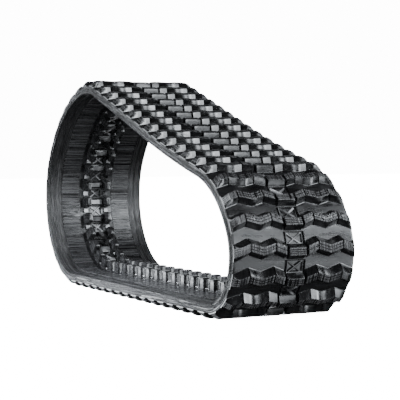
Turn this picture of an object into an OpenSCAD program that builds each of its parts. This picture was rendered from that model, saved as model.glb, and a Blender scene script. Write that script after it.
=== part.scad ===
// Endless rubber track for a compact loader, standing as a loop on its ground run.
// X runs towards the low front end, Y across the belt, Z up, with the floor at Z = 0.

/* [Loop] */
// Distance from one steel core to the next along the cord line
pitch = 86; // [85:0.5:87]
// Width of the belt over its edge beads
belt_w = 458; // [450:2:464]
// Radius of the cord line round the low front end
front_radius = 177; // [175:0.5:179]
// Turn of the belt round the low front end, in degrees
front_turn = 115.9; // [115.4:0.1:116.4]
// Radius of the shoulder where the front end meets the top run
shoulder_radius = 341; // [337:1:345]
// Turn of the shoulder, in degrees
shoulder_turn = 49.5; // [49.2:0.1:49.8]
// Radius of the slight sag in the top run
sag_radius = 5500; // [5300:50:5700]
// Turn of the sag, in degrees
sag_turn = 4.8; // [4.6:0.1:5]
// Radius of the crown where the top run meets the rear wall
crown_radius = 264; // [260:1:268]
// Turn of the crown, in degrees
crown_turn = 28.2; // [27.8:0.1:28.6]
// Radius of the tall rear wall
wall_radius = 616; // [611:1:621]
// Turn of the rear wall, in degrees
wall_turn = 47.1; // [46.8:0.1:47.4]
// Radius of the heel where the rear wall meets the ground run
heel_radius = 320; // [316:1:324]

/* [Carcass] */
// Rubber inside the cord line, down to the rolling surface
carcass_in = 18; // [17:0.5:19]
// Rubber outside the cord line, up to the foot of the tread
carcass_out = 16; // [15:0.5:17]
// Thickness of the wear layer on each roller path
path_t = 2; // [1:0.5:3]
// Distance from the middle of the belt to the inner side of a roller path
path_near = 78; // [74:1:80]
// Distance from the middle of the belt to the outer side of a roller path
path_far = 162; // [155:1:170]
// Height of the bead along each edge
bead_h = 4; // [3:0.5:6]

/* [Tread] */
// Height of the tread blocks above the carcass
lug_h = 22; // [18:0.5:24]
// Length of a tread block along the belt
lug_l = 33; // [30:1:34]
// How far the peaks of the zigzag stand back from its outer ends
zigzag = 20; // [16:1:20]
// Width of the narrow cuts between the blocks of a row
cut_w = 4; // [3:0.5:5]
// Width of the block on the middle of each row
centre_w = 62; // [56:1:66]

/* [Steel] */
// Length of a steel core along the belt
core_l = 30; // [26:1:32]
// Width of a steel core across the belt
core_w = 210; // [200:2:214]
// Thickness of a steel core
core_t = 9; // [8:0.5:9]
// Height of the two horns of a steel core
horn_h = 38; // [34:1:40]
// Number of steel cord ribbons on each side of the belt
cords = 4; // [3:1:4]

/* [Guides] */
// Height of the guide lugs above the rolling surface
guide_h = 46; // [42:1:48]
// Length of a guide lug along the belt at its foot
guide_l = 52; // [48:1:54]
// Distance from the middle of the belt to the middle of a guide lug
guide_y = 46; // [44:1:48]
// Width of a guide lug across the belt
guide_w = 30; // [28:1:32]

/* [Hidden] */
links = 52;
$fn = 96;
heel_turn = 360 - front_turn - shoulder_turn + sag_turn - crown_turn - wall_turn;
ARCS = [
    [front_radius, front_turn], [shoulder_radius, shoulder_turn], [sag_radius, -sag_turn], [0, 0],
    [crown_radius, crown_turn], [wall_radius, wall_turn], [heel_radius, heel_turn]
];
top_heading = front_turn + shoulder_turn - sag_turn;

// Place of the first window on the ground run
first_window = 55;
// Windows at which the loop flexes: heel, toe, nose and crown, counted along the belt
HEEL = -4;
TOE = 17;
NOSE = 21;
CROWN = 44;
// How far each flex line stands past its window, so that the four make a parallelogram
FLEX_PAST = [[HEEL, -1], [TOE, -1], [NOSE, 10.7], [CROWN, 11], [links + HEEL, -1]];
GROUND = [HEEL, TOE];
FRONT = [TOE, NOSE];
TOP = [NOSE, CROWN];
REAR = [CROWN, links + HEEL];
// Gap between two sections at a flex line, and the play inside it
flex_lip = 4;
flex_play = 0.4;
flex_skin = 1;
// Most that a chord stands inside its bend, and the least stretch between two knots
chord_sag = 0.3;
knot_gap = 0.2;

carcass_mid = (carcass_out - carcass_in) / 2;
tongue_r = (carcass_out + carcass_in) / 2 - flex_skin;
bead_out = 1.5;
carcass_w = belt_w - 2 * bead_out;
tread_out = carcass_out + lug_h;
// Zigzag of the tread: distance from the middle of the belt, and how far back a row stands there
ZIG = [[41, 0.3 * zigzag], [79, zigzag], [125, 0.3 * zigzag], [172, zigzag], [belt_w / 2 - 3, 0]];
tread_lead = 4;
row_reach = 46;
lug_root = 10;
end_bevel = 20;
core_top = 13;
cord_t = 3;
cord_w = 11;
cord_gap = 6;
cord_near = 112;
ply_t = 1.5;
ply_low = 5;
ply_inset = 18;
horn_w = 14;
horn_foot = 30;
horn_tip = 14;
tip_r = 10;
window_w = 54;
window_l = 46;
window_depth = 9;
well_w = 78;
well_l = 50;
well_depth = 8;
rib_w = 5;
rib_h = 5;
rib_turn = atan2(window_w, window_l);
rib_l = sqrt(window_w * window_w + window_l * window_l) - 2 * rib_w;
pad_l = 30;
pad_tip = 20;
pad_w = 60;
pad_h = 7;
block_l = 22;
block_w = 20;
block_h = 9;

// Displacement along a stretch of path: u of len millimetres that turn by turn degrees from heading h
function along(len, turn, h, u) =
    turn == 0
    ? u * [cos(h), sin(h)]
    : let (r = len / (turn * PI / 180), a = h + turn * u / len)
      r * [sin(a) - sin(h), cos(h) - cos(a)];
function arc_len(a) = a[0] * abs(a[1]) * PI / 180;
function heading(v, n, h = 0) = n <= 0 ? h : heading(v, n - 1) + v[n - 1][1];
function total(v, i = 0) = i >= len(v) ? 0 : v[i] + total(v, i + 1);
function total2(v, i = 0) = i >= len(v) ? [0, 0] : v[i] + total2(v, i + 1);

// The two straight stretches close the loop, and the whole is scaled to a whole number of pitches
BENDS = total2([
    for (i = [0:len(ARCS) - 1])
        if (ARCS[i][1] != 0) along(arc_len(ARCS[i]), ARCS[i][1], heading(ARCS, i), arc_len(ARCS[i]))
]);
top_len = -BENDS[1] / sin(top_heading);
ground_len = -BENDS[0] - top_len * cos(top_heading);
perimeter = pitch * links;
fit_scale = perimeter / (ground_len + top_len + total([for (a = ARCS) arc_len(a)]));
PATH = [
    [ground_len * fit_scale, 0],
    for (a = ARCS) [(a[1] == 0 ? top_len : arc_len(a)) * fit_scale, a[1]]
];
// Start of each stretch: distance along the belt, x, z and heading
function start(i) =
    i == 0
    ? [0, 0, 0, 0]
    : let (p = start(i - 1), d = along(PATH[i - 1][0], PATH[i - 1][1], p[3], PATH[i - 1][0]))
      [p[0] + PATH[i - 1][0], p[1] + d[0], p[2] + d[1], p[3] + PATH[i - 1][1]];
START = [for (i = [0:len(PATH)]) start(i)];
function wrap(s) = s - perimeter * floor(s / perimeter);
function stretch(s) = max([for (i = [0:len(PATH) - 1]) if (START[i][0] <= s) i]);
// Place on the cord line: x, z and heading
function spine(s) =
    let (t = wrap(s), i = stretch(t), d = along(PATH[i][0], PATH[i][1], START[i][3], t - START[i][0]))
    [START[i][1] + d[0], START[i][2] + d[1], START[i][3] + PATH[i][1] * (t - START[i][0]) / PATH[i][0]];
// Corner of a tread block: s along the belt, a ahead of it, h outside the cord line
function corner_x(s, a, h) = let (p = spine(s)) p[0] + a * cos(p[2]) + h * sin(p[2]);
// Ends of the short chords that stand for the bends, one lap from the start of the ground run
function chords(a) =
    a[1] == 0 ? 1 : ceil(a[0] / sqrt(8 * chord_sag * a[0] / (abs(a[1]) * PI / 180)));
KNOTS = [
    for (i = [0:len(PATH) - 1], k = [0:chords(PATH[i]) - 1])
        START[i][0] + k * PATH[i][0] / chords(PATH[i])
];
function knots_between(s0, s1) = [
    s0,
    for (lap = [-1, 0], k = KNOTS)
        let (s = k + lap * perimeter)
            if (s > s0 + knot_gap && s < s1 - knot_gap) s,
    s1
];
// Point of the side outline at s, h outside the cord line
function outside(s, h) =
    let (p = spine(s))
    [p[0] - mid_x + h * sin(p[2]), p[1] + tread_out - h * cos(p[2])];
function window_s(i) = first_window + i * pitch;
function core_s(i) = window_s(i) + pitch / 2;
function flex_s(i) = window_s(i) + lookup(i, FLEX_PAST);
function zig(y) = lookup(abs(y), ZIG);
CORNERS = [
    for (i = [0:links - 1], a = [-1, 1])
        corner_x(core_s(i), tread_lead + (a < 0 ? 0.3 : 1) * zigzag + a * lug_l / 2, tread_out)
];
mid_x = (min(CORNERS) + max(CORNERS)) / 2;

// Puts its children on the cord line: X along the belt, Y across it, Z into the loop
module at(s) {
    p = spine(s);
    translate([p[0] - mid_x, 0, p[1] + tread_out])
        rotate([0, -p[2], 0])
            children();
}

// Strip of the belt over a list of knots, between low and high outside the cord line, y0 to y1 across
module ribbon(ks, low, high, y0, y1) {
    n = len(ks);
    translate([0, y1, 0])
        rotate([90, 0, 0])
            linear_extrude(y1 - y0)
                polygon([
                    for (s = ks) outside(s, high),
                    for (k = [1:n]) outside(ks[n - k], low)
                ]);
}

// Strip of the belt from s0 to s1
module strip(s0, s1, low, high, y0, y1) {
    ribbon(knots_between(s0, s1), low, high, y0, y1);
}

// Both sides of the belt
module sides() {
    children();
    mirror([0, 1, 0])
        children();
}

module flex_cylinder(i, r) {
    at(flex_s(i))
        translate([0, carcass_w / 2, -carcass_mid])
            rotate([90, 0, 0])
                cylinder(r = r, h = carcass_w);
}

// Body of the carcass between two flex lines, before its pockets are cut
module carcass_blank(sec) {
    difference() {
        union() {
            strip(flex_s(sec[0]) + flex_lip, flex_s(sec[1]), -carcass_in, carcass_out, -carcass_w / 2, carcass_w / 2);
            flex_cylinder(sec[1], tongue_r);
        }
        flex_cylinder(sec[0], tongue_r + flex_play);
    }
}

// Stretch of a section's carcass round s, with the same chords, to cut the feet of blocks and lugs to it
module bed(sec, s) {
    ks = knots_between(flex_s(sec[0]) + flex_lip, flex_s(sec[1]));
    behind = max([ks[0], for (k = ks) if (k < s - row_reach) k]);
    ahead = min([ks[len(ks) - 1], for (k = ks) if (k > s + row_reach) k]);
    ribbon([for (k = ks) if (k >= behind && k <= ahead) k], -carcass_in, carcass_out, -belt_w, belt_w);
}

module core(i) {
    at(core_s(i)) {
        translate([-core_l / 2, -core_w / 2, core_top - core_t])
            cube([core_l, core_w, core_t]);
        sides()
            translate([0, guide_y + horn_w / 2, core_top])
                rotate([90, 0, 0])
                    linear_extrude(horn_w)
                        polygon([
                            [-horn_foot / 2, -core_t / 2], [horn_foot / 2, -core_t / 2],
                            [horn_foot / 2, 0], [horn_tip / 2, horn_h], [-horn_tip / 2, horn_h], [-horn_foot / 2, 0]
                        ]);
    }
}

// Room for the cords of one side
module cord_ribbons(sec) {
    s0 = flex_s(sec[0]) + tongue_r + flex_play + 3;
    for (k = [0:cords - 1]) {
        y = cord_near + k * (cord_w + cord_gap);
        strip(s0, flex_s(sec[1]), -cord_t / 2, cord_t / 2, y, y + cord_w);
    }
}

module ply(sec) {
    s0 = flex_s(sec[0]) + tongue_r + flex_play + 3;
    strip(s0, flex_s(sec[1]), ply_low, ply_low + ply_t, ply_inset - belt_w / 2, belt_w / 2 - ply_inset);
}

// Windows of a section, leaving out the one that its flex line crosses
function windows(sec) = [for (i = [sec[0] + 1:sec[1] - 1]) i];

module carcass(sec) {
    color([0.09, 0.09, 0.1])
        difference() {
            carcass_blank(sec);
            for (i = [sec[0]:sec[1] - 1])
                core(i);
            for (i = windows(sec))
                at(window_s(i)) {
                    translate([-window_l / 2, -window_w / 2, carcass_in - window_depth])
                        cube([window_l, window_w, 2 * window_depth]);
                    translate([-well_l / 2, -well_w / 2, -carcass_out - well_depth])
                        cube([well_l, well_w, 2 * well_depth]);
                }
            sides()
                cord_ribbons(sec);
            ply(sec);
        }
}

module steel_cores(sec) {
    color([0.42, 0.43, 0.45])
        for (i = [sec[0]:sec[1] - 1])
            core(i);
}

module cord_left(sec) {
    color([0.7, 0.62, 0.4])
        cord_ribbons(sec);
}

module cord_right(sec) {
    color([0.7, 0.62, 0.4])
        mirror([0, 1, 0])
            cord_ribbons(sec);
}

module breaker_ply(sec) {
    color([0.45, 0.36, 0.25])
        ply(sec);
}

module roller_paths(sec) {
    color([0.16, 0.16, 0.17])
        sides()
            strip(flex_s(sec[0]) + flex_lip, flex_s(sec[1]), -carcass_in - path_t, -carcass_in, path_near, path_far);
}

module edge_beads(sec) {
    color([0.2, 0.2, 0.21])
        sides()
            strip(
                flex_s(sec[0]) + flex_lip, flex_s(sec[1]),
                carcass_mid - bead_h / 2, carcass_mid + bead_h / 2, carcass_w / 2, belt_w / 2
            );
}

// Tread block between two distances from the middle of the belt, following the zigzag
module zigzag_block(y0, y1) {
    ys = [y0, for (z = ZIG) if (z[0] > y0 + 1 && z[0] < y1 - 1) z[0], y1];
    n = len(ys);
    translate([tread_lead, 0, -tread_out])
        linear_extrude(tread_out - lug_root)
            polygon([
                for (y = ys) [zig(y) - lug_l / 2, y],
                for (k = [1:n]) [zig(ys[n - k]) + lug_l / 2, ys[n - k]]
            ]);
}

// One side of a row: an inner block, a V block and an outer block with a bevelled end
module tread_row(sec, i) {
    y_end = ZIG[4][0];
    difference() {
        at(core_s(i))
            intersection() {
                union() {
                    zigzag_block(ZIG[0][0], ZIG[1][0] - cut_w / 2);
                    zigzag_block(ZIG[1][0] + cut_w / 2, ZIG[3][0] - cut_w / 2);
                    zigzag_block(ZIG[3][0] + cut_w / 2, y_end);
                }
                translate([-row_reach, 0, 0])
                    rotate([90, 0, 90])
                        linear_extrude(2 * row_reach)
                            polygon([
                                [0, 0], [y_end, 0], [y_end, -carcass_out - 2],
                                [y_end - end_bevel, -tread_out], [0, -tread_out]
                            ]);
            }
        bed(sec, core_s(i));
    }
}

module tread_left(sec) {
    color([0.13, 0.13, 0.14])
        for (i = [sec[0]:sec[1] - 1])
            tread_row(sec, i);
}

module tread_right(sec) {
    color([0.13, 0.13, 0.14])
        mirror([0, 1, 0])
            for (i = [sec[0]:sec[1] - 1])
                tread_row(sec, i);
}

module centre_blocks(sec) {
    color([0.17, 0.17, 0.18])
        for (i = [sec[0]:sec[1] - 1])
            difference() {
                at(core_s(i))
                    translate([tread_lead + 0.2 * zigzag - lug_l / 2, -centre_w / 2, -tread_out])
                        cube([lug_l, centre_w, tread_out - lug_root]);
                bed(sec, core_s(i));
                at(window_s(i))
                    translate([-well_l / 2, -well_w / 2, -tread_out])
                        cube([well_l, well_w, tread_out]);
                at(window_s(i + 1))
                    translate([-well_l / 2, -well_w / 2, -tread_out])
                        cube([well_l, well_w, tread_out]);
            }
}

// One guide lug: a rounded tooth over the horn of a core
module guide_lugs(sec, side) {
    color([0.12, 0.12, 0.13])
        for (i = [sec[0]:sec[1] - 1])
            difference() {
                at(core_s(i))
                    translate([0, side * guide_y + guide_w / 2, 0])
                        rotate([90, 0, 0])
                            linear_extrude(guide_w)
                                guide_outline();
                bed(sec, core_s(i));
                core(i);
            }
}

// Side of a guide lug: straight flanks that end in two round corners
module guide_outline() {
    top = carcass_in + guide_h;
    tip_x = guide_l / 4 - 1;
    polygon([
        [guide_l / 2, carcass_in / 2], [guide_l / 2, carcass_in + 2],
        for (a = [10:20:90]) [tip_x + tip_r * cos(a), top - tip_r + tip_r * sin(a)],
        for (a = [90:20:170]) [-tip_x + tip_r * cos(a), top - tip_r + tip_r * sin(a)],
        [-guide_l / 2, carcass_in + 2], [-guide_l / 2, carcass_in / 2]
    ]);
}

module guide_lugs_left(sec) guide_lugs(sec, -1);
module guide_lugs_right(sec) guide_lugs(sec, 1);

// Rubber over the middle of each core, where the sprocket teeth land
module core_pads(sec) {
    color([0.15, 0.15, 0.16])
        for (i = [sec[0]:sec[1] - 1])
            difference() {
                at(core_s(i))
                    translate([0, pad_w / 2, 0])
                        rotate([90, 0, 0])
                            linear_extrude(pad_w)
                                polygon([
                                    [-pad_l / 2, lug_root], [pad_l / 2, lug_root], [pad_l / 2, carcass_in + 1],
                                    [pad_tip / 2, carcass_in + pad_h], [-pad_tip / 2, carcass_in + pad_h],
                                    [-pad_l / 2, carcass_in + 1]
                                ]);
                bed(sec, core_s(i));
                guide_room(i);
            }
}

// Room of the two guide lugs beside a core pad
module guide_room(i) {
    at(core_s(i))
        sides()
            translate([-guide_l, guide_y - guide_w / 2, 0])
                cube([2 * guide_l, 2 * guide_w, 2 * guide_h]);
}

// Small square blocks in line with the guide lugs, one pair at each window
module side_blocks(sec) {
    color([0.15, 0.15, 0.16])
        for (i = windows(sec))
            difference() {
                at(window_s(i))
                    sides()
                        translate([-block_l / 2, guide_y - block_w / 2 + 2, lug_root])
                            cube([block_l, block_w, carcass_in + block_h - lug_root]);
                bed(sec, window_s(i));
            }
}

// Crossed ribs in both faces of each window
module window_ribs(sec) {
    color([0.2, 0.2, 0.21])
        for (i = windows(sec), floor_z = [carcass_in - window_depth, well_depth - carcass_out - rib_h])
            at(window_s(i))
                translate([0, 0, floor_z])
                    linear_extrude(rib_h)
                        for (turn = [-rib_turn, rib_turn])
                            rotate([0, 0, turn])
                                square([rib_l, rib_w], center = true);
}

carcass(GROUND);  // carcass_ground
carcass(FRONT);  // carcass_front
carcass(TOP);  // carcass_top
carcass(REAR);  // carcass_rear
steel_cores(GROUND);  // steel_cores_ground
steel_cores(FRONT);  // steel_cores_front
steel_cores(TOP);  // steel_cores_top
steel_cores(REAR);  // steel_cores_rear
cord_left(GROUND);  // cord_left_ground
cord_left(FRONT);  // cord_left_front
cord_left(TOP);  // cord_left_top
cord_left(REAR);  // cord_left_rear
cord_right(GROUND);  // cord_right_ground
cord_right(FRONT);  // cord_right_front
cord_right(TOP);  // cord_right_top
cord_right(REAR);  // cord_right_rear
breaker_ply(GROUND);  // breaker_ply_ground
breaker_ply(FRONT);  // breaker_ply_front
breaker_ply(TOP);  // breaker_ply_top
breaker_ply(REAR);  // breaker_ply_rear
roller_paths(GROUND);  // roller_paths_ground
roller_paths(FRONT);  // roller_paths_front
roller_paths(TOP);  // roller_paths_top
roller_paths(REAR);  // roller_paths_rear
edge_beads(GROUND);  // edge_beads_ground
edge_beads(FRONT);  // edge_beads_front
edge_beads(TOP);  // edge_beads_top
edge_beads(REAR);  // edge_beads_rear
tread_left(GROUND);  // tread_left_ground
tread_left(FRONT);  // tread_left_front
tread_left(TOP);  // tread_left_top
tread_left(REAR);  // tread_left_rear
tread_right(GROUND);  // tread_right_ground
tread_right(FRONT);  // tread_right_front
tread_right(TOP);  // tread_right_top
tread_right(REAR);  // tread_right_rear
centre_blocks(GROUND);  // centre_blocks_ground
centre_blocks(FRONT);  // centre_blocks_front
centre_blocks(TOP);  // centre_blocks_top
centre_blocks(REAR);  // centre_blocks_rear
guide_lugs_left(GROUND);  // guide_lugs_left_ground
guide_lugs_left(FRONT);  // guide_lugs_left_front
guide_lugs_left(TOP);  // guide_lugs_left_top
guide_lugs_left(REAR);  // guide_lugs_left_rear
guide_lugs_right(GROUND);  // guide_lugs_right_ground
guide_lugs_right(FRONT);  // guide_lugs_right_front
guide_lugs_right(TOP);  // guide_lugs_right_top
guide_lugs_right(REAR);  // guide_lugs_right_rear
core_pads(GROUND);  // core_pads_ground
core_pads(FRONT);  // core_pads_front
core_pads(TOP);  // core_pads_top
core_pads(REAR);  // core_pads_rear
side_blocks(GROUND);  // side_blocks_ground
side_blocks(FRONT);  // side_blocks_front
side_blocks(TOP);  // side_blocks_top
side_blocks(REAR);  // side_blocks_rear
window_ribs(GROUND);  // window_ribs_ground
window_ribs(FRONT);  // window_ribs_front
window_ribs(TOP);  // window_ribs_top
window_ribs(REAR);  // window_ribs_rear
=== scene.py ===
"""Looks of the rubber track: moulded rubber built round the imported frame, in metres and in the same frame."""
import math

import bmesh
import bpy
import numpy as np
from mathutils import Matrix, Vector


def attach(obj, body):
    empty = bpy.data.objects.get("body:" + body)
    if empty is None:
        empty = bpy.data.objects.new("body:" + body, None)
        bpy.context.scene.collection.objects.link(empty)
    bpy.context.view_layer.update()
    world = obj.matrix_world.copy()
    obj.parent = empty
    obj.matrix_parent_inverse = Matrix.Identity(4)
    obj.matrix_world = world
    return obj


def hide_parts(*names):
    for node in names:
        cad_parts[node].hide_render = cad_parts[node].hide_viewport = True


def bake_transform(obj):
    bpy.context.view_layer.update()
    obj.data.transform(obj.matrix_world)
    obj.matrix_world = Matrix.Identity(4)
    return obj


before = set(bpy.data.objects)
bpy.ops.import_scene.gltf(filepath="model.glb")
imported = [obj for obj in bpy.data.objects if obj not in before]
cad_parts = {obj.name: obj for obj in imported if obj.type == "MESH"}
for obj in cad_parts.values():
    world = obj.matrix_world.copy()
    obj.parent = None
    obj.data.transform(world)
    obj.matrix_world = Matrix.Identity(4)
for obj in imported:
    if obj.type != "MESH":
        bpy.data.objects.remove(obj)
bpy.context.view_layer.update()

# ---------------------------------------------------------------- driving dimensions of the part
PITCH, LINKS, BELT_W = 0.086, 52, 0.458
# Radius and turn in degrees of each arc after the ground run: nose, shoulder, sag, straight top, crown, wall
# and heel, which takes the turn that is left
ARCS = [(0.177, 115.9), (0.341, 49.5), (5.5, -4.8), (0, 0), (0.264, 28.2), (0.616, 47.1), (0.320, None)]
# Rubber inside and outside the cord line, and the roller path's own thickness and edges
IN, OUT, PATH_T = 0.018, 0.016, 0.002
PATH_NEAR, PATH_FAR = 0.078, 0.162
# Tread blocks: height, length, zigzag, the cut between two blocks, and how far a row stands ahead of its core
LUG_H, LUG_L, ZIGZAG, CUT, CENTRE_W = 0.022, 0.033, 0.020, 0.004, 0.062
LEAD, END_BEVEL = 0.004, 0.020
# Guide lugs, core pads and side blocks
GUIDE_H, GUIDE_L, GUIDE_Y, GUIDE_W = 0.046, 0.052, 0.046, 0.030
PAD_L, PAD_TIP, PAD_W, PAD_H = 0.030, 0.020, 0.060, 0.007
BLOCK_L, BLOCK_W, BLOCK_H = 0.022, 0.020, 0.009
# Windows that the flex lines cross, and how far each line stands past its window
FIRST_WINDOW = 0.055
HEEL, TOE, NOSE, CROWN = -4, 17, 21, 44
FLEX_PAST = {HEEL: -0.001, TOE: -0.001, NOSE: 0.0107, CROWN: 0.011, LINKS + HEEL: -0.001}
SECTIONS = {"ground": (HEEL, TOE), "front": (TOE, NOSE), "top": (NOSE, CROWN), "rear": (CROWN, LINKS + HEEL)}
BODY = {"ground": "ground_run", "front": "front_bend", "top": "top_run", "rear": "rear_bend"}
TREAD = OUT + LUG_H
LAP = PITCH * LINKS
HALF = BELT_W / 2
# The zigzag of a row: places across the belt, and how far ahead the row is there
ZIG_Y = [0.041, 0.079, 0.125, 0.172, HALF - 0.003]
ZIG_A = [0.3 * ZIGZAG, ZIGZAG, 0.3 * ZIGZAG, ZIGZAG, 0.0]
Y_END = ZIG_Y[-1]

# ---------------------------------------------------------------- the cord line
def along(length, turn, h, u):
    """Step of an arc, or of a straight where turn is 0, that starts with heading h, after a length u."""
    if turn == 0:
        return u * math.cos(h), u * math.sin(h)
    r, a = length / turn, h + turn * u / length
    return r * (math.sin(a) - math.sin(h)), r * (math.cos(h) - math.cos(a))


def make_path():
    """Length and turn of each stretch, closed by the ground run and the straight, scaled to the lap."""
    left = 360 - sum(t for _, t in ARCS if t)
    arcs = [(r, math.radians(left if t is None else t)) for r, t in ARCS]
    h = x = z = length = 0.0
    for r, t in arcs:
        if t == 0:
            top_heading = h
            continue
        dx, dz = along(r * abs(t), t, h, r * abs(t))
        x, z, h, length = x + dx, z + dz, h + t, length + r * abs(t)
    top = -z / math.sin(top_heading)
    ground = -x - top * math.cos(top_heading)
    k = LAP / (ground + top + length)
    return [(ground * k, 0.0)] + [((top if t == 0 else r * abs(t)) * k, t) for r, t in arcs]


PATH = make_path()
START = [(0.0, 0.0, 0.0, 0.0)]
for length, turn in PATH:
    s0, x0, z0, h0 = START[-1]
    dx, dz = along(length, turn, h0, length)
    START.append((s0 + length, x0 + dx, z0 + dz, h0 + turn))
STARTS = np.array(START)


def spine(s):
    """x, z and heading of the cord line at each s."""
    t = np.mod(np.asarray(s, float), LAP)
    i = np.clip(np.searchsorted(STARTS[:, 0], t, side="right") - 1, 0, len(PATH) - 1)
    length = np.array([p[0] for p in PATH])[i]
    turn = np.array([p[1] for p in PATH])[i]
    s0, x0, z0, h0 = np.moveaxis(STARTS[i], -1, 0)
    u = t - s0
    flat = turn == 0
    r = length / np.where(flat, 1.0, turn)
    a = h0 + turn * u / length
    x = np.where(flat, u * np.cos(h0), r * (np.sin(a) - np.sin(h0)))
    z = np.where(flat, u * np.sin(h0), r * (np.cos(h0) - np.cos(a)))
    return x0 + x, z0 + z, a


def window_s(i):
    """Where window i has its middle; core_s and flex_s do the same for a core and a flex line."""
    return FIRST_WINDOW + i * PITCH


def core_s(i):
    return window_s(i) + PITCH / 2


def flex_s(i):
    return window_s(i) + FLEX_PAST[i]


def find_middle():
    """Middle of the loop's length, between the tips of the blocks that reach furthest."""
    px, _, hd = spine([core_s(i) for i in range(LINKS)])
    ends = [
        px + (LEAD + (0.3 if side < 0 else 1) * ZIGZAG + side * LUG_L / 2) * np.cos(hd) + TREAD * np.sin(hd)
        for side in (-1, 1)
    ]
    return (np.min(ends) + np.max(ends)) / 2


MIDDLE = find_middle()
ROOT = 0.010


def bent(s, y, h):
    """Points that follow the belt: s along it, y across it, h outside the cord line."""
    px, pz, hd = spine(s)
    return np.stack([px - MIDDLE + h * np.sin(hd), y + 0 * px, pz + TREAD - h * np.cos(hd)], -1)


def rigid(s, a, y, h):
    """Points of a stiff block that sits on the belt at s: a ahead of it, y across, h outside."""
    px, pz, hd = spine(s)
    a, y, h = np.broadcast_arrays(np.asarray(a, float), y, h)
    return np.stack(
        [px - MIDDLE + a * np.cos(hd) + h * np.sin(hd), y, pz + TREAD + a * np.sin(hd) - h * np.cos(hd)], -1
    )


def rooted(s, a, y, h, surface):
    """A stiff block whose foot follows the belt's bend, up to ROOT above the surface."""
    a, y, h = np.broadcast_arrays(np.asarray(a, float), y, h)
    free = np.clip((np.abs(h) - surface) / ROOT, 0, 1)[..., None]
    return bent(s + a, y, h) * (1 - free) + rigid(s, a, y, h) * free


# ---------------------------------------------------------------- mesh building
SHARP_DEG = 35


class Build:
    """Collects closed shells, with the distance along the belt and across it kept as the UV map."""

    def __init__(self):
        self.points, self.faces, self.uvs, self.lifts, self.count = [], [], [], [], 0

    def shell(self, rings, uvs, lift=0.0):
        """rings: n closed cross-sections of m points, joined one to the next; the last argument is 1 on faces
        that take the lighter face tone, which is partly wear and partly a painted sheen.
        """
        rings, uvs, lift = np.asarray(rings), np.asarray(uvs), np.asarray(lift)
        n, m = rings.shape[:2]
        base = self.count
        self.points.append(rings.reshape(-1, 3))
        self.uvs.append(np.broadcast_to(uvs, rings.shape[:2] + (2,)).reshape(-1, 2))
        self.lifts.append(np.broadcast_to(lift, rings.shape[:2]).reshape(-1))
        for j in range(n - 1):
            a, b = base + j * m, base + (j + 1) * m
            self.faces += [(a + k, a + (k + 1) % m, b + (k + 1) % m, b + k) for k in range(m)]
        self.faces.append(tuple(range(base + m - 1, base - 1, -1)))
        self.faces.append(tuple(range(base + (n - 1) * m, base + n * m)))
        self.count += n * m

    def make(self, name, material):
        """The object made of all the shells, in that material and slot."""
        me = bpy.data.meshes.new(name)
        points, uvs = np.concatenate(self.points), np.concatenate(self.uvs)
        me.from_pydata(points.tolist(), [], self.faces)
        lifts = np.concatenate(self.lifts)
        # The faces marked here take the lighter face tone: partly wear, and partly a painted sheen that stands
        # in for highlights.
        face = me.attributes.new("wear_and_painted_sheen", "FLOAT", "FACE")
        face.data.foreach_set("value", [float(min(lifts[k] for k in f)) for f in self.faces])
        layer = me.uv_layers.new(name="UVMap")
        index = np.zeros(len(me.loops), np.int32)
        me.loops.foreach_get("vertex_index", index)
        layer.data.foreach_set("uv", uvs[index].astype(np.float32).ravel())
        bm = bmesh.new()
        bm.from_mesh(me)
        bmesh.ops.recalc_face_normals(bm, faces=bm.faces)
        bm.to_mesh(me)
        bm.free()
        me.shade_smooth()
        me.set_sharp_from_angle(angle=math.radians(SHARP_DEG))
        me.materials.append(material)
        ob = bpy.data.objects.new(name, me)
        bpy.context.scene.collection.objects.link(ob)
        return ob


def inset(poly, d):
    """A closed outline moved inwards by d, corner by corner."""
    p = np.asarray(poly, float)
    e = np.roll(p, -1, 0) - p
    e /= np.linalg.norm(e, axis=1)[:, None]
    area = np.sum(p[:, 0] * np.roll(p[:, 1], -1) - np.roll(p[:, 0], -1) * p[:, 1])
    nrm = np.stack([-e[:, 1], e[:, 0]], -1) * np.sign(area)
    prev = np.roll(nrm, 1, 0)
    k = 1 + np.sum(prev * nrm, 1)
    return p + d * (prev + nrm) / np.maximum(k, 0.3)[:, None]


# ---------------------------------------------------------------- materials
BLACK, DUST = (0.0006, 0.0006, 0.00065), (0.0022, 0.0022, 0.0023)
# Noise per metre, the broad streaks against the fine ones, and depth of the relief
CLOUDS, GRIT, STAINS = 14, 900, 60
BROAD = (0.12, 1.5)
RELIEF, PLAIN_RELIEF = 0.0012, 0.0005


def mix_node(nt, kind, a, b, fac):
    """A mix of two values or colours; each input is a socket or a constant."""
    n = nt.nodes.new("ShaderNodeMix")
    n.data_type = kind
    i = {"FLOAT": (2, 3, 0), "RGBA": (6, 7, 2)}[kind]
    for socket, v in ((n.inputs[i[0]], a), (n.inputs[i[1]], b), (n.inputs[0], fac)):
        if isinstance(v, bpy.types.NodeSocket):
            nt.links.new(v, socket)
        else:
            socket.default_value = v
    return n.outputs[i[2]]


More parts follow.
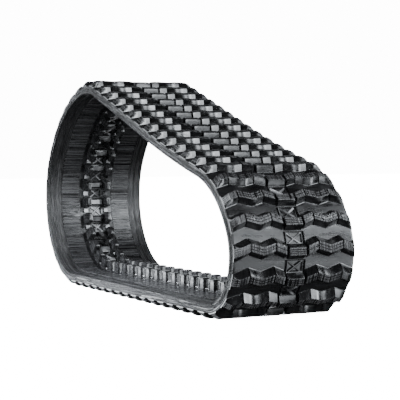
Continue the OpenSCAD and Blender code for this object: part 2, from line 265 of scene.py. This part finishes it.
def rubber(name, dust, rough, streaks, fine, grain, face):
    """Moulded rubber. rough: low and high roughness; streaks: how often they come along and across;
    fine: depth of the fine lines; grain: share of grit in them.
    face: tone, low roughness, high roughness, streaks and depth on worn, finely lined faces; the face tone is
    painted lighter as well, a painted sheen that stands in for highlights."""
    wear_sheen_tone, face_low, face_high, face_streaks, face_depth = face
    m = bpy.data.materials.new(name)
    m.use_nodes = True
    nt = m.node_tree
    shader = nt.nodes["Principled BSDF"]
    co = nt.nodes.new("ShaderNodeTexCoord")

    def noise(source, stretch, detail, scale=1.0, roughness=0.6):
        mp = nt.nodes.new("ShaderNodeMapping")
        mp.inputs["Scale"].default_value = stretch
        nt.links.new(source, mp.inputs["Vector"])
        n = nt.nodes.new("ShaderNodeTexNoise")
        n.inputs["Scale"].default_value = scale
        n.inputs["Detail"].default_value = detail
        n.inputs["Roughness"].default_value = roughness
        nt.links.new(mp.outputs["Vector"], n.inputs["Vector"])
        return n.outputs["Fac"]

    def ramp(source, low, high):
        r = nt.nodes.new("ShaderNodeMapRange")
        r.inputs["From Min"].default_value = low
        r.inputs["From Max"].default_value = high
        nt.links.new(source, r.inputs["Value"])
        return r.outputs["Result"]

    lines = noise(co.outputs["UV"], (streaks[0], streaks[1], 1), 3)
    broad = noise(co.outputs["UV"], (streaks[0] * BROAD[0], streaks[1] * BROAD[1], 1), 2)
    cloud = noise(co.outputs["Object"], (1, 1, 1), 4, scale=CLOUDS)
    grit = noise(co.outputs["Object"], (1, 1, 1), 2, scale=GRIT)
    hatch = ramp(noise(co.outputs["UV"], (*face_streaks, 1), 3, roughness=0.75), 0.44, 0.60)
    worn = mix_node(nt, "FLOAT", ramp(lines, 0.42, 0.68), ramp(cloud, 0.4, 0.75), 0.4)
    tone = mix_node(nt, "RGBA", (*BLACK, 1), (*dust, 1), worn)
    shine = mix_node(nt, "FLOAT", rough[0], rough[1], ramp(broad, 0.35, 0.65))
    relief = mix_node(nt, "FLOAT", lines, grit, grain)

    top = nt.nodes.new("ShaderNodeAttribute")
    top.attribute_name = "wear_and_painted_sheen"
    top = top.outputs["Fac"]
    # Marked faces take a lighter, lined tone: worn, and painted lighter as a painted sheen.
    tone = mix_node(nt, "RGBA", tone, mix_node(nt, "RGBA", (*BLACK, 1), (*wear_sheen_tone, 1), hatch), top)
    shine = mix_node(nt, "FLOAT", shine, mix_node(nt, "FLOAT", face_low, face_high, hatch), top)
    relief = mix_node(nt, "FLOAT", relief, hatch, top)
    depth = mix_node(nt, "FLOAT", fine, face_depth, top)
    nt.links.new(tone, shader.inputs["Base Color"])
    nt.links.new(shine, shader.inputs["Roughness"])
    bump = nt.nodes.new("ShaderNodeBump")
    bump.inputs["Distance"].default_value = RELIEF
    nt.links.new(depth, bump.inputs["Strength"])
    nt.links.new(relief, bump.inputs["Height"])
    nt.links.new(bump.outputs["Normal"], shader.inputs["Normal"])
    return m


def plain(name, base, stain, rough, stretch, metallic=1.0):
    """A stained metal or fabric for the pieces inside the carcass."""
    m = bpy.data.materials.new(name)
    m.use_nodes = True
    nt = m.node_tree
    shader = nt.nodes["Principled BSDF"]
    shader.inputs["Metallic"].default_value = metallic
    co = nt.nodes.new("ShaderNodeTexCoord")
    mp = nt.nodes.new("ShaderNodeMapping")
    mp.inputs["Scale"].default_value = stretch
    nt.links.new(co.outputs["Object"], mp.inputs["Vector"])
    n = nt.nodes.new("ShaderNodeTexNoise")
    n.inputs["Scale"].default_value = STAINS
    n.inputs["Detail"].default_value = 5
    nt.links.new(mp.outputs["Vector"], n.inputs["Vector"])
    nt.links.new(mix_node(nt, "RGBA", (*base, 1), (*stain, 1), n.outputs["Fac"]), shader.inputs["Base Color"])
    nt.links.new(mix_node(nt, "FLOAT", rough[0], rough[1], n.outputs["Fac"]), shader.inputs["Roughness"])
    bump = nt.nodes.new("ShaderNodeBump")
    bump.inputs["Strength"].default_value = 0.3
    bump.inputs["Distance"].default_value = PLAIN_RELIEF
    nt.links.new(n.outputs["Fac"], bump.inputs["Height"])
    nt.links.new(bump.outputs["Normal"], shader.inputs["Normal"])
    return m


# The face tones below are worn tones painted lighter as a painted sheen.
CARCASS = rubber("carcass_rubber", DUST, (0.2, 0.42), (420, 5), 0.25, 0.3,
                 face=((0.009, 0.009, 0.0093), 0.22, 0.5, (4, 420), 0.6))
TREADS = rubber("tread_rubber", DUST, (0.1, 0.28), (520, 14), 0.2, 0.25,
                face=((0.021, 0.021, 0.0217), 0.18, 0.45, (3, 190), 1.0))
PATHS = rubber("path_rubber", DUST, (0.12, 0.34), (330, 3), 0.6, 0.05,
               face=((0.014, 0.014, 0.0145), 0.08, 0.34, (260, 3), 0.22))
# The face tone of guide_rubber, 0.12, is a painted highlight on the crossed bars and on the tops of the pads
# and square blocks.
GUIDES = rubber("guide_rubber", (0.008, 0.008, 0.0083), (0.14, 0.3), (200, 60), 0.12, 0.2,
                face=((0.12, 0.12, 0.123), 0.1, 0.2, (4, 4), 0.05))
STEEL = plain("core_steel", (0.2, 0.2, 0.21), (0.32, 0.28, 0.24), (0.45, 0.7), (1, 1, 1))
CORD = plain("cord_steel", (0.75, 0.62, 0.36), (0.6, 0.48, 0.28), (0.25, 0.45), (1, 8, 1))
PLY = plain("ply_fabric", (0.3, 0.24, 0.16), (0.2, 0.16, 0.11), (0.7, 0.9), (6, 6, 6), 0.0)

# ---------------------------------------------------------------- carcass
# Half length, half width and depth of the wells on the tread side and the windows on the rolling side
WELL_A, WELL_Y, WELL_D = 0.023, 0.039, 0.008
WINDOW_A, WINDOW_Y, WINDOW_D = 0.023, 0.027, 0.009
# Run of their steep walls
WALL = 0.0015
# Half length of the belt that bends at a flex line, and the overlap of the two ends at the open pivot
WEB, LAP_JOINT = 0.024, 0.008
# How far the inner end is tucked in at that overlap, and along how much of the belt it comes back
TUCK, TUCK_RUN = 0.0005, 0.001
# The rim, which the edge bead stands out from, its wide groove, and the fine grooves below the bead
RIM = HALF - 0.0015
RIM_ROUND = [(0.0035, 0.0002), (0.0012, 0.0014), (0.0, 0.0038)]
RIM_GROOVE, GROOVE_D = (0.0102, 0.0092, 0.0052, 0.0042), 0.0014
EDGE_BEAD = (0.0010, 0.0002, -0.0022, -0.0030)
RIM_LINES, LINE_D, LINE_W = (-0.0060, -0.0098, -0.0134), 0.0012, (0.0009, 0.0004)
# The flange beside the roller path: its height, grooves, rounded beads, and the slope and groove at its foot
FLANGE = -IN + 0.0032
FLANGE_GROOVES, FLANGE_GROOVE = (0.2182, 0.2102), 0.0008
FLANGE_BEADS = (0.1965, 0.1918)
BEAD = [(0.0014, 0.0), (0.0011, 0.0006), (0.0005, 0.0011)]
BEAD += [(-d, rise) for d, rise in BEAD[::-1]]
FLANGE_FOOT = [(0.1890, 0.0032), (0.1780, 0.0004), (0.1740, 0.0)]
FLANGE_FOOT += [(0.1665, 0.0), (0.1657, 0.0010), (0.1649, 0.0)]
# From here outwards the rim and the flange are finely lined and take the lighter face tone: worn on the rim,
# and a painted sheen on both.
RIM_WEAR_SHEEN, FLANGE_SHEEN, FLANGE_SHEEN_H = 0.222, 0.1645, -IN + 0.0045
# Places across the belt where its section has a point, on the tread side and on the rolling side
ACROSS_OUT = [0.0, 0.018, WELL_Y - WALL, WELL_Y, 0.062, 0.09, 0.12, 0.15, 0.18, 0.204, 0.217]
ACROSS_IN = [0.162, 0.14, 0.12, 0.1, 0.078, 0.06, 0.044, WINDOW_Y, WINDOW_Y - WALL, 0.013, 0.0]
# Places along the belt where it has a section, from a window's middle, and the least step between two
ALONG = [0.0, 0.008, 0.0155, WINDOW_A - WALL, WINDOW_A, 0.030, 0.0365, PITCH / 2]
LEAST_STEP = 0.0004


def half_section():
    """Half of the belt's cross-section from the tread side round the rim to the rolling side: (y, h)."""
    pts = [(y, OUT) for y in ACROSS_OUT]
    pts += [(RIM - inward, OUT - down) for inward, down in RIM_ROUND]
    pts += zip((RIM, RIM - GROOVE_D, RIM - GROOVE_D, RIM), RIM_GROOVE)
    pts += zip((RIM, HALF, HALF, RIM), EDGE_BEAD)
    wide, narrow = LINE_W
    for h in RIM_LINES:
        pts += [(RIM, h + wide), (RIM - LINE_D, h + narrow), (RIM - LINE_D, h - narrow), (RIM, h - wide)]
    pts += [(RIM - 0.0010, FLANGE + 0.0016), (RIM - 0.0032, FLANGE)]
    for y in FLANGE_GROOVES:
        pts += [(y + FLANGE_GROOVE, FLANGE), (y, FLANGE + FLANGE_GROOVE), (y - FLANGE_GROOVE, FLANGE)]
    pts.append((0.2000, FLANGE))
    for y in FLANGE_BEADS:
        pts += [(y + d, FLANGE - rise) for d, rise in BEAD]
    pts += [(y, -IN + rise) for y, rise in FLANGE_FOOT]
    return pts + [(y, -IN) for y in ACROSS_IN]


def belt_samples(s0, s1):
    """Places along the belt, from s0 to s1, where it has a section."""
    ticks = sorted(set([-t for t in ALONG] + ALONG))[:-1]
    first = int(math.floor((s0 - FIRST_WINDOW) / PITCH)) - 1
    last = int(math.ceil((s1 - FIRST_WINDOW) / PITCH)) + 1
    inside = [window_s(i) + t for i in range(first, last + 1) for t in ticks]
    return np.array([s0] + [s for s in inside if s0 + LEAST_STEP < s < s1 - LEAST_STEP] + [s1])


def hollow(ds, y, a, w, depth):
    """Depth of a recess with steep walls, at ds along the belt from its middle."""
    return depth * np.clip(np.minimum((a - np.abs(ds)) / WALL, (w - np.abs(y)) / WALL), 0, 1)


def tucked(s, tuck):
    """How far the belt's surface is drawn in before tuck, where this end lies inside the other."""
    return TUCK * np.clip((tuck - s) / TUCK_RUN, 0, 1)[:, None]


def belt(build, s0, s1, tuck=None):
    """The carcass from s0 to s1, with its wells, windows and edge beads."""
    half = half_section()
    ring = np.array(half + [(-y, h) for y, h in half[-2:0:-1]])
    s = belt_samples(s0, s1)
    y, h = (np.broadcast_to(ring[:, k], (len(s), len(ring))) for k in (0, 1))
    ds = np.mod(s - FIRST_WINDOW + PITCH / 2, PITCH)[:, None] - PITCH / 2
    h = h - np.where(h >= OUT - 1e-6, hollow(ds, y, WELL_A, WELL_Y, WELL_D), 0)
    h = h + np.where(h <= -IN + 1e-6, hollow(ds, y, WINDOW_A, WINDOW_Y, WINDOW_D), 0)
    if tuck is not None:
        k = tucked(s, tuck)
        h = h - np.sign(h) * k
        y = y - np.sign(y) * np.where(np.abs(y) > HALF - 0.01, k, 0)
    # The rim and the flange are marked for the lighter face tone, partly wear and partly painted sheen.
    rim_wear_sheen = (np.abs(y) > RIM_WEAR_SHEEN).astype(float)
    flange_sheen = (np.abs(y) > FLANGE_SHEEN) & (h < FLANGE_SHEEN_H)
    ss = np.repeat(s[:, None], len(ring), 1)
    build.shell(bent(ss, y, h), np.stack([ss, y + h * rim_wear_sheen], -1), lift=np.maximum(rim_wear_sheen, flange_sheen))


def path_strip(build, s0, s1, tuck=None):
    """The left and right roller paths from s0 to s1, a little proud of the carcass."""
    low, mid, high, r = -IN + 0.0015, -IN - 0.0006, -IN - PATH_T, 0.0008
    prof = [(PATH_NEAR - r, low), (PATH_NEAR, mid), (PATH_NEAR + r, high)]
    prof += [(PATH_NEAR + (PATH_FAR - PATH_NEAR) * k / 6, high) for k in range(1, 6)]
    prof += [(PATH_FAR - r, high), (PATH_FAR, mid), (PATH_FAR + r, low)]
    ring = np.array(prof)
    s = belt_samples(s0, s1)
    ss = np.repeat(s[:, None], len(ring), 1)
    h = np.repeat(ring[None, :, 1], len(s), 0)
    if tuck is not None:
        h = h + tucked(s, tuck)
    for side in (-1, 1):
        y = np.repeat(side * ring[None, :, 0], len(s), 0)
        # The paths take the lighter face tone all over: worn, and painted lighter as a painted sheen.
        build.shell(bent(ss, y, h), np.stack([ss, y], -1), lift=1.0)


# ---------------------------------------------------------------- tread
# Length of the faces, and the sipes across them, of the side blocks and of the centre block
FACE_L, MIDDLE_FACE_L = 0.027, 0.026
ONE_SIPE, TWO_SIPES, THREE_SIPES = [0.0], [-0.0045, 0.0045], [-0.0062, 0.0, 0.0062]
SIPE_D, SIPE_TOP, SIPE_FLOOR = 0.005, 0.0014, 0.0010
# Fillet at a block's foot, run of its flanks, and the width of its broken edges
FOOT, DRAFT, MIDDLE_DRAFT, EDGE = 0.003, 0.010, 0.008, 0.0013
MIDDLE_LEAD = 0.0052
# Fine ribs down the sloping end of a row: their places, height and half widths
END_RIBS, END_RIB_H, END_RIB_W = (-0.0105, -0.0035, 0.0035, 0.0105), 0.0026, (0.0022, 0.0012)


def block_profile(length, sipes, draft=DRAFT):
    """Side of a block across the belt: drafted flanks, fillets at its feet and narrow sipes in its face."""
    half = length / 2
    side = [(half + draft + FOOT + 0.0004, OUT - 0.003)]
    for turn in (4, 22, 41, 60, 80):
        t = math.radians(turn)
        side.append((half + draft + FOOT * (1 - math.sin(t)), OUT + FOOT * (1 - math.cos(t))))
    side += [(half + 0.0009, TREAD - 0.0022), (half - 0.0001, TREAD - 0.0005), (half - 0.0012, TREAD)]
    pts = [(-a, h) for a, h in side]
    for x in sipes:
        pts += [(x - SIPE_TOP, TREAD), (x - SIPE_FLOOR, TREAD - SIPE_D)]
        pts += [(x + SIPE_FLOOR, TREAD - SIPE_D), (x + SIPE_TOP, TREAD)]
    return np.array(pts + side[::-1])


def zig(y):
    """How far ahead a row is at y."""
    return np.interp(np.abs(y), ZIG_Y, ZIG_A)


def swept_block(build, s, profile, ys, side=1, lead=0.0, shift=None, slope=None, sign=1):
    """A block whose profile runs across the belt through ys, with its end edges broken.
    lead: how far it stands ahead of s; shift and slope: that and its height at y; sign: -1 inside."""
    top = profile[:, 1].max()
    foot = profile[:, 1].min()
    rows = [(ys[0], top - EDGE), (ys[0] + EDGE, top)] + [(y, top) for y in ys[1:-1]]
    rows += [(ys[-1] - EDGE, top), (ys[-1], top - EDGE)]
    rings, uvs, lifts = [], [], []
    for y, cap in rows:
        if slope is not None:
            cap = min(cap, slope(y))
        a = profile[:, 0] + lead + (shift(y) if shift is not None else 0)
        h = np.minimum(profile[:, 1], cap)
        rings.append(rooted(s, a, side * y, sign * h, OUT if sign > 0 else IN))
        uvs.append(np.stack([s + a + (h - foot) * 0.7, np.full(len(a), side * y)], -1))
        # Top faces take the lighter face tone: worn, and painted lighter as a painted sheen.
        lifts.append((h > top - EDGE * 1.2).astype(float))
    build.shell(rings, uvs, lift=lifts)


def end_slope(y):
    """Height of the sloping end of the outer block."""
    return TREAD - (TREAD - OUT - 0.002) * np.clip((y - Y_END + END_BEVEL) / END_BEVEL, 0, 1)


def tread_rows(build, section, side):
    """Inner block, V block and outer block of each row on one side."""
    start, valley, peak, last = ZIG_Y[:4]
    gap = CUT / 2
    inner = block_profile(FACE_L, ONE_SIPE), [start, 0.060, valley - gap]
    chevron = block_profile(FACE_L, TWO_SIPES), [valley + gap, 0.102, peak, 0.148, last - gap]
    outer = block_profile(FACE_L, []), [last + gap, 0.190, Y_END - END_BEVEL, Y_END - 0.008, Y_END]
    for i in range(*section):
        s = core_s(i)
        swept_block(build, s, *inner, side, LEAD, zig)
        swept_block(build, s, *chevron, side, LEAD, zig)
        swept_block(build, s, *outer, side, LEAD, zig, slope=end_slope)
        for a in END_RIBS:
            rib_on_slope(build, s, a, side)


def rib_on_slope(build, s, a, side):
    """One of the fine ribs down the sloping end of an outer block."""
    foot, crest = END_RIB_W
    top = Y_END - END_BEVEL
    ridge = [(top + 0.001, 0), (top + 0.004, END_RIB_H)]
    ridge += [(Y_END - 0.002, END_RIB_H), (Y_END - 0.0006, 0)]
    rings, uvs = [], []
    for y, rise in ridge:
        prof = np.array([(-foot, -0.002), (-crest, rise), (crest, rise), (foot, -0.002)])
        ahead = prof[:, 0] + a + LEAD + zig(y)
        rings.append(rigid(s, ahead, side * y, end_slope(y) + prof[:, 1]))
        uvs.append(np.stack([s + ahead, np.full(4, side * y)], -1))
    # The end ribs take the lighter face tone: worn, and painted lighter as a painted sheen.
    build.shell(rings, uvs, lift=1.0)


def centre_row(build, section):
    """The centre block of each row."""
    prof = block_profile(MIDDLE_FACE_L, THREE_SIPES, MIDDLE_DRAFT)
    ys = [-CENTRE_W / 2, -0.012, 0.012, CENTRE_W / 2]
    for i in range(*section):
        swept_block(build, core_s(i), prof, ys, lead=MIDDLE_LEAD)


# ---------------------------------------------------------------- inner side
# A lug's corner radius, the half length of its flat top, its taper, and the flare at its foot
LUG_R, LUG_TIP, LUG_TAPER = 0.0095, GUIDE_L / 4 - 0.001, 0.0022
LUG_FLARE, LUG_FLARE_H = 0.0008, 0.006
# The sunk panel in each side of a lug: how far in from the outline, and how deep
LUG_LAYERS = [(0.0070, 0.0026), (0.0056, 0.0004), (0.0024, 0.0), (0.0008, 0.0008), (0.0, 0.0026)]
PAD_FOOT, BLOCK_FOOT = 0.0025, 0.0015
# Draft and broken edge of the crossed pads, how far their bars sink in, and a bar's rounded section
CROSS_DRAFT, CROSS_EDGE, BAR_SINK = 0.0012, 0.0006, 0.0006
BAR_ACROSS = np.array([-1, -1, -0.65, 0, 0.65, 1, 1])
BAR_RISE = np.array([0, 0.78, 0.97, 1, 0.97, 0.78, 0])
# Width, length, foot, top, floor, border and bar width of the crossed pads outside and inside
OUTER_CROSS = (0.060, 0.0452, 0.0065, 0.0156, 0.0092, 0.0030, 0.0066)
INNER_CROSS = (0.052, 0.0430, -0.0070, -0.0172, -0.0104, 0.0020, 0.0062)


def guide_lug(build, i, side):
    """A guide lug with round corners, a flared foot and an arched panel sunk in each side."""
    s = core_s(i)
    top, half = IN + GUIDE_H, GUIDE_L / 2
    line = [(half + 0.0015, IN - 0.004), (half + 0.0008, IN + 0.0003)]
    line += [(half - 0.0012, IN + 0.002), (half - 0.0022, IN + 0.005)]
    for turn in (15, 35, 55, 75, 90):
        t = math.radians(turn)
        line.append((LUG_TIP + LUG_R * math.cos(t), top - LUG_R + LUG_R * math.sin(t)))
    line += [(-a, h) for a, h in line[::-1]]
    rings, uvs = [], []
    for sign, order in ((-1, LUG_LAYERS), (1, LUG_LAYERS[::-1])):
        for inward, sunk in order:
            ring = inset(line, inward)
            a, h = ring[:, 0], ring[:, 1]
            wide = GUIDE_W / 2 - LUG_TAPER * np.clip((h - IN) / GUIDE_H, 0, 1)
            wide = wide + LUG_FLARE * np.clip((IN + LUG_FLARE_H - h) / LUG_FLARE_H, 0, 1)
            y = side * GUIDE_Y + sign * (wide - sunk)
            rings.append(rooted(s, a, y, -h, IN))
            uvs.append(np.stack([s + a, y + h * 0.8], -1))
    build.shell(rings, uvs)


def flat_profile(length, tip, height, foot):
    """Side of a low block on the rolling side, with sloping ends."""
    side = [(length / 2 + foot + 0.001, IN - 0.003), (length / 2 + foot, IN + 0.0003)]
    side += [(length / 2 + 0.0004, IN + 0.0016), (tip / 2 + 0.0008, IN + height - 0.0012)]
    side += [(tip / 2 - 0.0006, IN + height)]
    return np.array([(-a, h) for a, h in side] + side[::-1])


def pads(build, section):
    """The pad over the middle of each core, which just sinks into the guide lugs."""
    prof = flat_profile(PAD_L, PAD_TIP, PAD_H, PAD_FOOT)
    ends = [-PAD_W / 2 - 0.0005, 0.0, GUIDE_Y - GUIDE_W / 2 - 0.0005]
    for i in range(*section):
        swept_block(build, core_s(i), prof, ends, sign=-1)


def side_pair(build, i):
    """The two small square blocks at a window."""
    prof = flat_profile(BLOCK_L - 0.002, BLOCK_L - 0.005, BLOCK_H, BLOCK_FOOT)
    near = GUIDE_Y - BLOCK_W / 2 + 0.002
    for side in (-1, 1):
        swept_block(build, window_s(i), prof, [near, near + BLOCK_W / 2, near + BLOCK_W], side, sign=-1)


def crossed_pad(build, i, wide, long_, low, high, floor, border, bar):
    """A pad with a sunk middle, and two rounded bars that cross in it from corner to corner."""
    s = window_s(i)
    sign = 1 if high > 0 else -1
    loops = [(0.0, low), (CROSS_DRAFT, high - sign * CROSS_EDGE), (CROSS_DRAFT + CROSS_EDGE, high)]
    loops += [(border, high), (border + 0.0010, floor)]
    rings, uvs = [], []
    for inward, h in loops:
        ha, hy = long_ / 2 + CROSS_DRAFT - inward, wide / 2 + CROSS_DRAFT - inward
        a, y = np.array([-ha, ha, ha, -ha]), np.array([-hy, -hy, hy, hy])
        rings.append(rigid(s, a, y, np.full(4, h)))
        uvs.append(np.stack([s + a, y], -1))
    build.shell(rings, uvs)
    ia, iy = long_ / 2 - border, wide / 2 - border
    diag = math.hypot(ia, iy)
    off = bar / 2 * BAR_ACROSS
    foot = floor - sign * BAR_SINK
    for turn in (-1, 1):
        rings, uvs = [], []
        for end in (-1, 1):
            a = end * (ia - 0.0002) + off * iy / diag
            y = turn * (end * (iy - 0.0002) - off * ia / diag)
            rings.append(rigid(s, a, y, foot + (high - foot) * BAR_RISE))
            uvs.append(np.stack([s + a, y], -1))
        # The bars take the light face tone of guide_rubber: a painted highlight.
        build.shell(rings, uvs, lift=1.0)


def windows(build, indices):
    """The crossed pads at each window, outside and inside."""
    for i in indices:
        crossed_pad(build, i, *OUTER_CROSS)
        crossed_pad(build, i, *INNER_CROSS)


# ---------------------------------------------------------------- pieces
def whole(fill, name, material, section, nodes):
    """A piece that rides on its section's body and stands for those CAD nodes."""
    build = Build()
    fill(build)
    ob = build.make(name, material)
    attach(ob, BODY[section])
    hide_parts(*nodes)


def span(section):
    """Where a section's belt starts and ends, and where its tucked end stops."""
    a, b = SECTIONS[section]
    s0, s1 = flex_s(a) + WEB, flex_s(b) - WEB
    tuck = None
    if section == "front":
        s1 = flex_s(b) + LAP_JOINT
    if section == "top":
        s0, tuck = flex_s(a) - LAP_JOINT, flex_s(a) + LAP_JOINT + 2 * TUCK_RUN
    return s0, s1, tuck


for section, (a, b) in SECTIONS.items():
    s0, s1, tuck = span(section)
    rows = (a, b)
    whole(lambda m: belt(m, s0, s1, tuck), f"belt_{section}", CARCASS, section,
          [f"carcass_{section}", f"edge_beads_{section}"])
    whole(lambda m: path_strip(m, s0, s1, tuck), f"paths_{section}", PATHS, section,
          [f"roller_paths_{section}"])
    for side, sy in (("left", -1), ("right", 1)):
        whole(lambda m: tread_rows(m, rows, sy), f"bars_{side}_{section}", TREADS, section,
              [f"tread_{side}_{section}"])
        whole(lambda m: [guide_lug(m, i, sy) for i in range(*rows)], f"lugs_{side}_{section}", GUIDES,
              section, [f"guide_lugs_{side}_{section}"])
    whole(lambda m: centre_row(m, rows), f"middles_{section}", TREADS, section,
          [f"centre_blocks_{section}"])
    whole(lambda m: pads(m, rows), f"pads_{section}", GUIDES, section,
          [f"core_pads_{section}"])
    inside = list(range(a + 1, b + (1 if section == "front" else 0)))
    whole(lambda m: [side_pair(m, i) for i in inside], f"squares_{section}", GUIDES, section,
          [f"side_blocks_{section}"])
    whole(lambda m: windows(m, inside), f"crosses_{section}", GUIDES, section,
          [f"window_ribs_{section}"])

# The belt over each flex line, made in place between one body and the next
for name, i, before, after in (
    ("heel", LINKS + HEEL, "rear", "ground"), ("toe", TOE, "ground", "front"), ("crown", CROWN, "top", "rear")
):
    s = flex_s(i)
    for kind, material, slot, fill in (
        ("belt", CARCASS, "carcass_rubber", lambda m: belt(m, s - WEB, s + WEB)),
        ("paths", PATHS, "path_rubber", lambda m: path_strip(m, s - WEB, s + WEB)),
        ("crosses", GUIDES, "guide_rubber", lambda m: (windows(m, [i]), side_pair(m, i))),
    ):
        build = Build()
        fill(build)
        ob = build.make(f"{kind}_{name}", material)
        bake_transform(ob)

# The pieces inside the carcass are the CAD's own
INSIDE = {"steel_cores": STEEL, "cord_left": CORD, "cord_right": CORD, "breaker_ply": PLY}
for section in SECTIONS:
    for kind, material in INSIDE.items():
        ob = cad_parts[f"{kind}_{section}"]
        ob.data.materials.clear()
        ob.data.materials.append(material)

# ---------------------------------------------------------------- floor, light and camera
# Brightness of the floor and the backdrop, of the light that fills the shadows, and the lamps' tint
WHITE, SKY, COOL = 14.0, 2.0, (0.95, 0.998, 1.045)
REACH = 60

floor_paint = bpy.data.materials.new("floor_paint")
floor_paint.use_nodes = True
sockets = floor_paint.node_tree.nodes["Principled BSDF"].inputs
sockets["Base Color"].default_value = (0.95, 0.95, 0.95, 1)
sockets["Roughness"].default_value = 0.9
sockets["Specular IOR Level"].default_value = 0.0
sockets["Emission Color"].default_value = (1, 1, 1, 1)
sockets["Emission Strength"].default_value = WHITE
floor_mesh = bpy.data.meshes.new("floor")
corners = [(-REACH, -REACH, 0), (REACH, -REACH, 0), (REACH, REACH, 0), (-REACH, REACH, 0)]
floor_mesh.from_pydata(corners, [], [(0, 1, 2, 3)])
floor_mesh.materials.append(floor_paint)
floor = bpy.data.objects.new("floor", floor_mesh)
bpy.context.scene.collection.objects.link(floor)
floor.visible_glossy = False
floor.visible_diffuse = False
floor.visible_shadow = False

world = bpy.data.worlds.new("studio")
bpy.context.scene.world = world
world.use_nodes = True
wn = world.node_tree
aim = wn.nodes.new("ShaderNodeTexCoord")


def calc(operation, *values):
    """A sum, product and so on of sockets and constants."""
    n = wn.nodes.new("ShaderNodeMath")
    n.operation = operation
    for socket, v in zip(n.inputs, values):
        if isinstance(v, bpy.types.NodeSocket):
            wn.links.new(v, socket)
        else:
            socket.default_value = v
    return n.outputs["Value"]


def facing(axis):
    """How much a ray of the world points along the axis."""
    n = wn.nodes.new("ShaderNodeVectorMath")
    n.operation = "DOT_PRODUCT"
    n.inputs[1].default_value = axis
    wn.links.new(aim.outputs["Generated"], n.inputs[0])
    return n.outputs["Value"]


def fade(value, off, full):
    """A smooth step from 0 at off to 1 at full."""
    n = wn.nodes.new("ShaderNodeMapRange")
    n.interpolation_type = "SMOOTHSTEP"
    n.inputs["From Min"].default_value = off
    n.inputs["From Max"].default_value = full
    wn.links.new(value, n.inputs["Value"])
    return n.outputs["Result"]


def soft_box(direction, wide, tall, edge, strength):
    """A soft rectangle of light: half its width and height in degrees, and the width of its soft edge."""
    middle = Vector(direction).normalized()
    across = middle.cross(Vector((0, 0, 1))).normalized()
    light = fade(facing(middle), 0.0, 0.1)
    for axis, half in ((across, wide), (across.cross(middle), tall)):
        off, full = math.sin(math.radians(half + edge)), math.sin(math.radians(max(half - edge, 0)))
        light = calc("MULTIPLY", light, fade(calc("ABSOLUTE", facing(axis)), off, full))
    return calc("MULTIPLY", light, strength)


# A faint glow all round, and the studio's soft boxes: direction, half width, half height, edge, strength
glow = 0.03
for box in (
    ((0.85, 0.33, 0.35), 7, 4, 7, 24.0),
    ((0.80, 0.43, -0.33), 8, 3, 10, 6.0),
    ((0.56, 0.47, 0.68), 8, 2, 4, 28.0),
    ((0.63, 0.77, 0.00), 3, 30, 4, 24.0),
    ((0.45, 0.86, 0.25), 12, 10, 8, 10.0),
    ((-0.91, -0.41, -0.15), 10, 7, 7, 16.0),
    ((-0.92, -0.37, 0.08), 10, 3, 5, 3.0),
    ((-0.91, 0.39, 0.10), 12, 8, 6, 0.9),
    ((0.93, 0.33, 0.09), 4, 3, 4, 18.0),
    ((-0.77, 0.44, 0.47), 14, 10, 8, 0.08),
    ((-0.92, 0.09, -0.36), 10, 8, 6, 0.9),
    ((-0.03, -0.70, 0.72), 14, 12, 10, 18.0),
    ((0.45, -0.88, 0.10), 14, 10, 8, 10.0),
    ((0.97, -0.14, -0.16), 4, 6, 6, 16.0),
):
    glow = calc("ADD", glow, soft_box(*box))


def background(strength, colour=(1, 1, 1)):
    """A background of that strength, a socket or a constant."""
    n = wn.nodes.new("ShaderNodeBackground")
    if isinstance(strength, bpy.types.NodeSocket):
        wn.links.new(strength, n.inputs["Strength"])
    else:
        n.inputs["Strength"].default_value = strength
    n.inputs["Color"].default_value = (*colour, 1)
    return n.outputs["Background"]


def choose(ray, no, yes):
    """One background for that kind of ray, and another for the rest."""
    n = wn.nodes.new("ShaderNodeMixShader")
    wn.links.new(rays.outputs[ray], n.inputs["Fac"])
    wn.links.new(no, n.inputs[1])
    wn.links.new(yes, n.inputs[2])
    return n.outputs["Shader"]


rays = wn.nodes.new("ShaderNodeLightPath")
lit = choose("Is Diffuse Ray", background(glow, COOL), background(SKY))
wn.links.new(choose("Is Camera Ray", lit, background(WHITE)), wn.nodes["World Output"].inputs["Surface"])


def lamp(name, place, target, size, power):
    """A square or oblong lamp that looks at the target."""
    data = bpy.data.lights.new(name, "AREA")
    data.shape = "RECTANGLE"
    data.size, data.size_y = size
    data.energy = power
    data.color = COOL
    ob = bpy.data.objects.new(name, data)
    ob.location = place
    ob.rotation_euler = (Vector(target) - Vector(place)).to_track_quat("-Z", "Y").to_euler()
    bpy.context.scene.collection.objects.link(ob)
    return ob


AIM = (0, 0, 0.4)
lamp("key_light", (2.2, 2.6, 2.2), AIM, (1.2, 1.2), 50)
lamp("front_light", (5.0, -1.3, 1.0), AIM, (1.5, 1.5), 900).visible_glossy = False
side_light = lamp("side_light", (-0.1, -1.7, 0.55), (-0.1, 0, 0.07), (1.1, 0.1), 130)
side_light.visible_glossy = False
side_light.data.spread = math.radians(50)

# The photo's view: focal length in mm, the eye from the ground run's start, and yaw, pitch and roll
LENS, EYE = 108.045, (4.9505 - MIDDLE, -1.9456, 0.469 + TREAD)
yaw, pitch, roll = 0.4412, -0.0269, -0.0102
cam_data = bpy.data.cameras.new("camera")
cam_data.sensor_width = 36
cam_data.lens = LENS
cam_data.clip_end = 200
camera = bpy.data.objects.new("camera", cam_data)
look = Vector((-math.cos(yaw) * math.cos(pitch), math.sin(yaw) * math.cos(pitch), math.sin(pitch)))
right = Vector((math.sin(yaw), math.cos(yaw), 0))
up = right.cross(look)
right, up = right * math.cos(roll) + up * math.sin(roll), up * math.cos(roll) - right * math.sin(roll)
turn = Matrix((right, up, -look)).transposed().to_4x4()
camera.matrix_world = Matrix.Translation(EYE) @ turn
bpy.context.scene.collection.objects.link(camera)
bpy.context.scene.camera = camera
